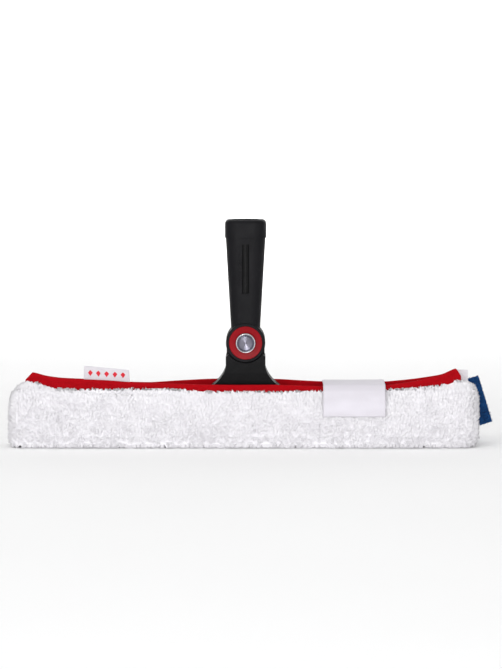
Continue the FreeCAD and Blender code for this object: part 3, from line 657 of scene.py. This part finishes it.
def shade_as_pile(piece, facing, per_strand):
    """Turns each strand's shading partly towards the cloth under it, as soft fibres scatter light."""
    mesh = piece.data
    own = np.empty(len(mesh.vertices) * 3)
    mesh.vertices.foreach_get("normal", own)
    lit = facing.copy()
    lit[:, 2] = np.maximum(lit[:, 2], LOWEST_FACING)
    under = np.repeat(unit(lit), per_strand, axis=0)
    blended = unit(own.reshape(-1, 3) * OWN_SHADE + under * CLOTH_SHADE)
    mesh.normals_split_custom_set_from_vertices(blended.tolist())


# ---------------------------------------------------------------- red bindings
TAPE_HALF, TAPE_FOLD = 1.0 * MM, 0.86  # half the folded tape's thickness; share of its height where it folds
RIM_STEP = 1.0 * MM
RIM_LOW = box("front_binding")[0][2]


def rim_curve(node):
    """Smooth run of a binding: x, y of the middle, top height and outward side."""
    stations = rim_stations(node)
    xs = np.arange(stations[0, 0], stations[-1, 0] + RIM_STEP / 2, RIM_STEP)
    body = stations[1:-1]
    y = eased(np.interp(xs, body[:, 0], body[:, 1]), 7)
    top = eased(np.interp(xs, body[:, 0], body[:, 2]), 2.5)
    slanted = (xs < body[0, 0]) | (xs > body[-1, 0])
    top = np.where(slanted, np.interp(xs, stations[:, 0], stations[:, 2]), top)
    side = 1.0 if y.mean() > 0 else -1.0
    return xs, y, top, side


def tape_section(height):
    """Section of a tape folded over an edge, as (outward, up) points, from its outer foot over the fold."""
    points = []
    for t in np.linspace(0, 1, 7):
        points.append(((1.0 + 0.35 * math.sin(math.pi * t)) * TAPE_HALF, t * TAPE_FOLD * height))
    for turn in np.linspace(0, math.pi, 9)[1:-1]:
        points.append((math.cos(turn) * TAPE_HALF, height - TAPE_HALF + math.sin(turn) * TAPE_HALF))
    for share in np.linspace(TAPE_FOLD, 0, 7):
        points.append((-TAPE_HALF, share * height))
    return points


def binding(node, seed):
    xs, y, top, side = rim_curve(node)
    y = y + side * 0.3 * MM * wander_line(xs, 14 * MM, seed) + 0.08 * MM * wander_line(xs, 3.5 * MM, seed + 1)
    top = top + 0.25 * MM * wander_line(xs, 30 * MM, seed + 2)
    clear_of_bar = np.abs(y) - TAPE_HALF > bar_hollow()[1][1] + 0.4 * MM
    foot = eased(np.where(clear_of_bar, RIM_LOW - 2.2 * MM, RIM_LOW - 0.2 * MM), 2)
    rings = []
    for x, middle, high, low in zip(xs, y, top, foot):
        section = tape_section(max(high - low, 4 * MM))
        rings.append([(x, middle + side * out, low + up) for out, up in section])
    piece = swept(node + "_tape", rings, MATERIALS["red_tape"])
    settle(piece, "head", "red_tape", node)
    stitches = seam(node + "_stitches", xs, y, top - 3.1 * MM, side)
    settle(stitches, "head", "red_tape")
    return piece


def seam(name, xs, y, z, side, pitch=2.6 * MM, length=1.7 * MM, radius=0.17 * MM):
    """Lock stitches along the outer face of a binding."""
    starts = np.arange(xs[0] + 3 * MM, xs[-1] - 5 * MM, pitch)
    out = y + side * (TAPE_HALF * 1.3)
    at = [np.column_stack((s, np.interp(s, xs, out), np.interp(s, xs, z))) for s in
          (starts, starts + 0.3 * length, starts + 0.7 * length, starts + length)]
    sink = np.array((0.0, side * radius * 0.8, 0.0))
    spines = (at[0] - sink, at[1] + sink * 0.3, at[2] + sink * 0.3, at[3] - sink)
    return strands(name, spines, (0.8, 1.0, 0.9), np.full(len(starts), radius), MATERIALS["red_tape"], 5)


def sleeve_lining():
    """Turned-in edge of the sleeve's lining, between each binding and the bar."""
    _, half = bar_hollow()
    for node, name in (("front_binding", "lining_front"), ("rear_binding", "lining_rear")):
        xs, y, _, side = rim_curve(node)
        inside = np.abs(y) > 2.2 * MM
        xs, y = xs[inside], y[inside]
        rings = []
        for x, middle in zip(xs, y):
            outer = middle + side * 0.3 * MM
            inner = side * min(abs(middle) - 1.2 * MM, half[1] + 0.2 * MM)
            if abs(middle) - 1.2 * MM <= half[1]:
                inner = middle - side * 1.9 * MM
            high, low = RIM_LOW + 1.4 * MM, RIM_LOW + 0.1 * MM
            rings.append([(x, outer, high), (x, inner, low + 0.6 * MM), (x, inner, low), (x, outer, low)])
        piece = swept(name, rings, MATERIALS["red_tape"])
        settle(piece, "head", "red_tape")


# ---------------------------------------------------------------- closure flap
FLAP_HALF, FLAP_STEP = 0.45 * MM, 0.9 * MM
HOOK_BASE = 0.8 * MM


def rounded_path(points, radius, step):
    """Even points along straight runs whose corners are rounded."""
    points = [np.array(p, float) for p in points]
    dense = [points[0]]
    for before, corner, after in zip(points, points[1:], points[2:]):
        cut = min(radius, np.linalg.norm(corner - before) * 0.45, np.linalg.norm(after - corner) * 0.45)
        start = corner + unit(before - corner) * cut
        end = corner + unit(after - corner) * cut
        for t in np.linspace(0, 1, 9):
            dense.append((1 - t) ** 2 * start + 2 * t * (1 - t) * corner + t ** 2 * end)
    dense.append(points[-1])
    dense = np.array(dense)
    far = np.concatenate(([0], np.cumsum(np.linalg.norm(np.diff(dense, axis=0), axis=1))))
    even = np.linspace(0, far[-1], int(far[-1] / step) + 1)
    return np.column_stack([np.interp(even, far, dense[:, k]) for k in range(2)]), far[-1]


def flap_sheet(name, path, seed):
    """Strip of tape along X whose middle line in the YZ plane is path, with soft edges and a ripple."""
    low, high = box("flap_bridge")
    xs = np.linspace(low[0], high[0], int((high[0] - low[0]) / FLAP_STEP) + 1)
    along = unit(np.gradient(path, axis=0))
    normal = np.column_stack((along[:, 1], -along[:, 0]))
    rows = []
    for side in (1, -1):
        for x in xs:
            edge = min(x - xs[0], xs[-1] - x) / (1.2 * MM)
            half = FLAP_HALF * (0.45 + 0.55 * min(1.0, edge)) + 0.18 * MM * math.exp(-((edge - 1.6) ** 2))
            ripple = 0.22 * MM * wander(np.column_stack((np.full(len(path), x), path)), 15 * MM, seed)
            offset = (side * half + ripple)[:, None] * normal
            rows.append(np.column_stack((np.full(len(path), x), path + offset)))
    count, steps = len(xs), len(path)
    faces = []
    for i, j in ((i, j) for i in range(count - 1) for j in range(steps - 1)):
        a = i * steps + j
        faces.append((a, a + 1, a + steps + 1, a + steps))
        b = (count + i) * steps + j
        faces.append((b, b + steps, b + steps + 1, b + 1))
    back = count * steps
    for i in range(count - 1):
        for j in (0, steps - 1):
            a = i * steps + j
            loop = (a, a + steps, a + steps + back, a + back)
            faces.append(loop if j == 0 else loop[::-1])
    for j in range(steps - 1):
        for i in (0, count - 1):
            a = i * steps + j
            loop = (a, a + back, a + back + 1, a + 1)
            faces.append(loop if i == 0 else loop[::-1])
    return add_mesh(name, np.concatenate(rows), faces, MATERIALS["white_tape"])


def closure_flap():
    """The flap as two sheets that meet halfway over the opening; the rear one is bent round the hinge and the
    front one round the tab's corner.
    """
    root_low, root_high = box("flap_root")
    tab_low, _ = box("flap_tab")
    hinge, corner = FLAP_HINGE[1:], FLAP_CORNER[1:]
    halfway = (hinge + corner) / 2
    foot = np.array((root_high[1] - 0.7 * MM, root_low[2]))
    hip = hinge + np.array((0.9, -6.5)) * MM
    shin = foot + np.array((-0.9, 5.5)) * MM
    rear_path, rear_length = rounded_path((foot, shin, hip, hinge, halfway), 3.2 * MM, FLAP_STEP)
    tab_foot = np.array((tab_low[1] + 0.6 * MM, tab_low[2]))
    knee = tab_foot + np.array((0.0, 6.2)) * MM
    thigh = tab_foot + np.array((1.5, 15.2)) * MM
    front_path, front_length = rounded_path((halfway, corner, thigh, knee, tab_foot), 3.4 * MM, FLAP_STEP)
    rear = flap_sheet("closure_flap_rear", rear_path, 41.0)
    front = flap_sheet("closure_flap_front", front_path, 41.0)
    settle(rear, None, "white_tape", "flap_root")
    settle(front, None, "white_tape", "flap_bridge", "flap_tab")
    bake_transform(rear)
    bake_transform(front)


def hook_patch():
    """Hook tape under the free end of the flap: a thin strip whose upper half leans in with the sleeve."""
    low, high = box("hook_patch")
    xs, zs = np.linspace(low[0], high[0], 30), np.linspace(low[2], high[2], 9)
    lean = high[1] - low[1] - HOOK_BASE
    rings = []
    for x in xs:
        ring = [(x, low[1] + lean * max(0.0, (z - zs[4]) / (zs[-1] - zs[4])), z) for z in zs]
        rings.append(ring + [(px, py + HOOK_BASE, pz) for px, py, pz in ring[::-1]])
    settle(swept("hook_patch_tape", rings, MATERIALS["hook_tape"]), "head", "hook_tape", "hook_patch")


# ---------------------------------------------------------------- pivot button
BUTTON_PROFILE = (  # (share of the radius, depth behind the front in mm), from the skirt over the rim inwards
    (0.96, 3.9), (1.0, 3.7), (1.0, 0.75), (0.993, 0.38), (0.972, 0.12), (0.944, 0.0), (0.916, 0.08),
    (0.9, 0.3), (0.885, 0.62), (0.80, 0.70), (0.775, 0.62), (0.76, 0.40), (0.735, 0.34),
)
BUTTON_SEGMENTS = 128
COIL_TURNS, COIL_WIRE, PRESS = 5.5, 0.38 * MM, 3.2 * MM


def button_face():
    """Turned steel cap: a rounded bright rim, a groove and a slightly dished face with fine rings."""
    low, high = box("button_cap")
    radius, front = (high[0] - low[0]) / 2, low[1]
    profile = [(share * radius, front + depth * MM) for share, depth in BUTTON_PROFILE]
    for k, share in enumerate(np.arange(0.70, 0.04, -0.035)):
        dish = 0.34 + 0.22 * (1 - share / 0.7)
        profile.append((share * radius, front + (dish + (0.05 if k % 2 else 0.0)) * MM))
    angles = 2 * math.pi * np.arange(BUTTON_SEGMENTS) / BUTTON_SEGMENTS
    rings = []
    for r, y in profile:
        rings.append([(PIVOT[0] + r * math.cos(a), y, PIVOT[2] + r * math.sin(a)) for a in angles])
    face = swept("button_face", rings, MATERIALS["button_steel"])
    settle(face, "lock_button", "button_steel", "button_cap")


def return_coil():
    """Return spring behind the cap, hung on the lock button's body."""
    low, high = box("return_spring")
    radius, first, last = (high[0] - low[0]) / 2 - COIL_WIRE, low[1] + COIL_WIRE, high[1] - COIL_WIRE
    rings = []
    for share in np.linspace(0, 1, int(COIL_TURNS * 28) + 1):
        angle = 2 * math.pi * COIL_TURNS * share
        spoke = np.array((math.cos(angle), 0.0, math.sin(angle)))
        middle = np.array((PIVOT[0], first + (last - first) * share, PIVOT[2])) + radius * spoke
        rings.append([middle + COIL_WIRE * (math.cos(a) * spoke + math.sin(a) * np.array((0.0, 1.0, 0.0)))
                      for a in np.linspace(0, 2 * math.pi, 8, endpoint=False)])
    coil = swept("return_coil", rings, MATERIALS["pin_steel"])
    settle(coil, "lock_button", "pin_steel", "return_spring")
    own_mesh(coil)


# ---------------------------------------------------------------- labels and scouring pad
LOZENGES, LOZENGE_FIRST, LOZENGE_PITCH, LOZENGE_DOWN = 5, 0.14, 0.18, 0.3  # places as shares of the label
PAD_SHRINK, PAD_ROUGH = 0.3 * MM, 0.35 * MM
PAD_FIBRES, PAD_FIBRE_RADIUS = 2600, 0.11 * MM


def slab(name, corners, y_front, thickness, material, step, bend, rough=0.0, seed=0.0):
    """Slab between four (x, z) corners; bend(u, v) moves it along Y and rough lumps its faces."""
    width, height = outline_size(corners)
    columns, rows = max(4, int(width / step)), max(4, int(height / step))
    us, vs = np.linspace(0, 1, columns), np.linspace(0, 1, rows)
    layers = []
    for back in (0.0, 1.0):
        points = []
        for v in vs:
            for u in us:
                x, z = between_corners(corners, u, v)
                points.append((x, y_front + back * thickness + bend(u, v), z))
        points = np.array(points)
        if rough:
            lump = wander(points, 1.6 * MM, seed + back) * 0.6 + wander(points, 0.8 * MM, seed + 3) * 0.5
            points[:, 1] += (2 * back - 1) * rough * lump
            border = [min(u, 1 - u) < 0.5 / columns or min(v, 1 - v) < 0.5 / rows for v in vs for u in us]
            shake = np.column_stack((wander(points, 1.1 * MM, seed + 5), wander(points, 1.1 * MM, seed + 6)))
            points[:, [0, 2]] += np.array(border)[:, None] * shake * rough * 1.2
        layers.append(points)
    size = rows * columns
    faces = [tuple(face[::-1]) for face in grid_faces(rows, columns)]
    faces += [tuple(index + size for index in face) for face in grid_faces(rows, columns)]
    rim = list(range(columns)) + [i * columns + columns - 1 for i in range(1, rows)]
    rim += [(rows - 1) * columns + j for j in range(columns - 2, -1, -1)]
    rim += [i * columns for i in range(rows - 2, 0, -1)]
    for a, b in zip(rim, rim[1:] + rim[:1]):
        faces.append((a, b, b + size, a + size))
    return add_mesh(name, np.concatenate(layers), faces, material)


def side_label():
    """Folded woven label in the front seam, with a plain row of red lozenges."""
    low, high = box("side_label")
    corners = slab_corners("side_label")

    def bend(u, v):
        return -0.9 * MM * (1 - v) ** 2 + 0.25 * MM * math.sin(3 * math.pi * u)

    thickness = high[1] - low[1]
    label = slab("side_label_cloth", corners, low[1], thickness, MATERIALS["label_cloth"], 0.9 * MM, bend)
    settle(label, "head", "label_cloth", "side_label")
    vertices, faces = [], []
    for k in range(LOZENGES):
        u = LOZENGE_FIRST + LOZENGE_PITCH * k
        x, z = between_corners(corners, u, LOZENGE_DOWN)
        y = low[1] + bend(u, LOZENGE_DOWN)
        base = len(vertices)
        for dx, dz in ((0, 2.6), (1.9, 0), (0, -2.6), (-1.9, 0)):
            vertices.append((x + dx * MM, y + 0.05 * MM, z + dz * MM))
        for dx, dz in ((0, 2.2), (1.55, 0), (0, -2.2), (-1.55, 0)):
            vertices.append((x + dx * MM, y - 0.16 * MM, z + dz * MM))
        faces.append(tuple(base + n for n in (7, 6, 5, 4)))
        faces.append(tuple(base + n for n in (0, 1, 2, 3)))
        for n in range(4):
            faces.append((base + n, base + 4 + n, base + 4 + (n + 1) % 4, base + (n + 1) % 4))
    marks = add_mesh("label_lozenges", vertices, faces, MATERIALS["red_thread"], smooth=False)
    settle(marks, "head", "red_tape")


def care_label():
    """Plain white label sewn in at the right end, behind the bindings."""
    low, high = box("care_label")
    corners = slab_corners("care_label")

    def bend(u, v):
        return 0.7 * MM * (1 - v) ** 2 + 0.3 * MM * u

    thickness = high[1] - low[1]
    label = slab("care_label_cloth", corners, low[1], thickness, MATERIALS["label_cloth"], 0.7 * MM, bend)
    settle(label, "head", "label_cloth", "care_label")


def scrub_pad():
    """Scouring pad: a lumpy open web with loose fibres over both faces and along its cut edges."""
    low, high = box("scrub_pad")
    corners = slab_corners("scrub_pad")
    front, thickness = low[1] + PAD_SHRINK, high[1] - low[1] - 2 * PAD_SHRINK
    web = MATERIALS["scouring_web"]

    def bend(u, v):
        return 0.5 * MM * math.sin(math.pi * v) * u

    pad = slab("scouring_pad", corners, front, thickness, web, 0.5 * MM, bend, PAD_ROUGH, 51.0)
    settle(pad, "head", "scouring_web", "scrub_pad")
    rng = np.random.default_rng(52)
    count = PAD_FIBRES
    u, v = rng.uniform(0.0, 1.0, count), rng.uniform(0.0, 1.0, count)
    spot = between_corners(corners, u[:, None], v[:, None])
    face = rng.integers(0, 2, count)
    outward = 2 * face - 1
    y = front + face * thickness + outward * 0.12 * MM
    centres = np.column_stack((spot[:, 0], y, spot[:, 1]))
    turn = rng.uniform(0, 2 * math.pi, count)
    along = np.column_stack((np.cos(turn), rng.normal(0, 0.12, count), np.sin(turn)))
    bow = np.column_stack((-np.sin(turn), np.zeros(count), np.cos(turn)))
    bow *= rng.normal(0, 0.25, count)[:, None]
    reach = rng.uniform(1.2, 2.6, count)[:, None] * MM
    lift = np.column_stack((np.zeros(count), outward * 0.22 * MM, np.zeros(count)))
    raised = bow * reach + lift
    spines = (
        centres - along * reach / 2,
        centres - along * reach / 6 + raised,
        centres + along * reach / 6 + raised,
        centres + along * reach / 2,
    )
    fibres = strands("scouring_fibres", spines, (0.8, 1.0, 0.8), np.full(count, PAD_FIBRE_RADIUS), web)
    settle(fibres, "head", "scouring_web")


# ---------------------------------------------------------------- stage, light and camera
def stage():
    """Plain pale floor that curves up well behind the object."""
    reach, bend_from, radius, wall = 5.0, 2.9, 0.8, 4.5
    sweep = np.linspace(0.1, math.pi / 2, 12)
    ahead = np.linspace(-reach, bend_from, 8)
    depths = np.concatenate((ahead, bend_from + radius * np.sin(sweep), [bend_from + radius]))
    heights = np.concatenate((np.zeros(8), radius * (1 - np.cos(sweep)), [wall]))
    rows = [[(x, y, z) for y, z in zip(depths, heights)] for x in (-reach, reach)]
    floor = add_mesh("studio_floor", rows, grid_faces(2, len(depths)), stage_paint())


def softbox(name, place, size, power, target=(0.0, 0.0, 0.06)):
    """Rectangular light, its size in metres and its power in watts, turned to its target."""
    light = bpy.data.lights.new(name, "AREA")
    light.shape, light.size, light.size_y, light.energy = "RECTANGLE", *size, power
    lamp = bpy.data.objects.new(name, light)
    lamp.location = place
    lamp.rotation_euler = (Vector(target) - Vector(place)).to_track_quat("-Z", "Y").to_euler()
    bpy.context.scene.collection.objects.link(lamp)


def lights():
    softbox("key_softbox", (-0.9, -1.4, 1.5), (1.2, 0.9), 7.5)
    softbox("fill_softbox", (1.1, -1.7, 0.4), (1.4, 0.7), 7)
    softbox("low_softbox", (-1.1, -1.6, 0.25), (1.1, 0.45), 4.5)
    softbox("spark_strip", (-0.11, -2.2, 0.33), (0.15, 0.24), 10)
    softbox("top_softbox", (0.0, 0.1, 1.8), (2.2, 1.2), 8.5)
    softbox("back_softbox", (0.0, 2.0, 2.0), (3.4, 1.0), 75, (0.0, 3.5, 0.5))
    world = bpy.data.worlds.new("studio_air")
    world.use_nodes = True
    background = world.node_tree.nodes["Background"]
    background.inputs["Color"].default_value = (1.0, 1.0, 1.0, 1.0)
    background.inputs["Strength"].default_value = 0.52
    bpy.context.scene.world = world


def camera():
    """Long lens straight in front and a little above; frame_height is what it takes in at the object."""
    frame_height, lens, sensor, elevation = 0.499, 130.0, 36.0, math.radians(5.0)
    aim = Vector((0.0040, 0.0, PIVOT[2] + 0.0052))
    distance = frame_height * lens / sensor
    data = bpy.data.cameras.new("camera")
    data.lens, data.sensor_fit, data.sensor_height = lens, "VERTICAL", sensor
    data.clip_start, data.clip_end = 0.05, 20.0
    viewer = bpy.data.objects.new("camera", data)
    viewer.location = aim + distance * Vector((0.0, -math.cos(elevation), math.sin(elevation)))
    viewer.rotation_euler = (aim - viewer.location).to_track_quat("-Z", "Y").to_euler()
    bpy.context.scene.collection.objects.link(viewer)
    bpy.context.scene.camera = viewer


# ---------------------------------------------------------------- build
camera()
lights()
stage()
bpy.context.scene.view_settings.view_transform = "Standard"
dress_cad_nodes()
backing = fleece_backing()
pile = fleece_locks(backing)
tapes = [binding("front_binding", 61.0), binding("rear_binding", 71.0)]
sleeve_lining()
hook_patch()
closure_flap()
side_label()
care_label()
scrub_pad()
button_face()
return_coil()
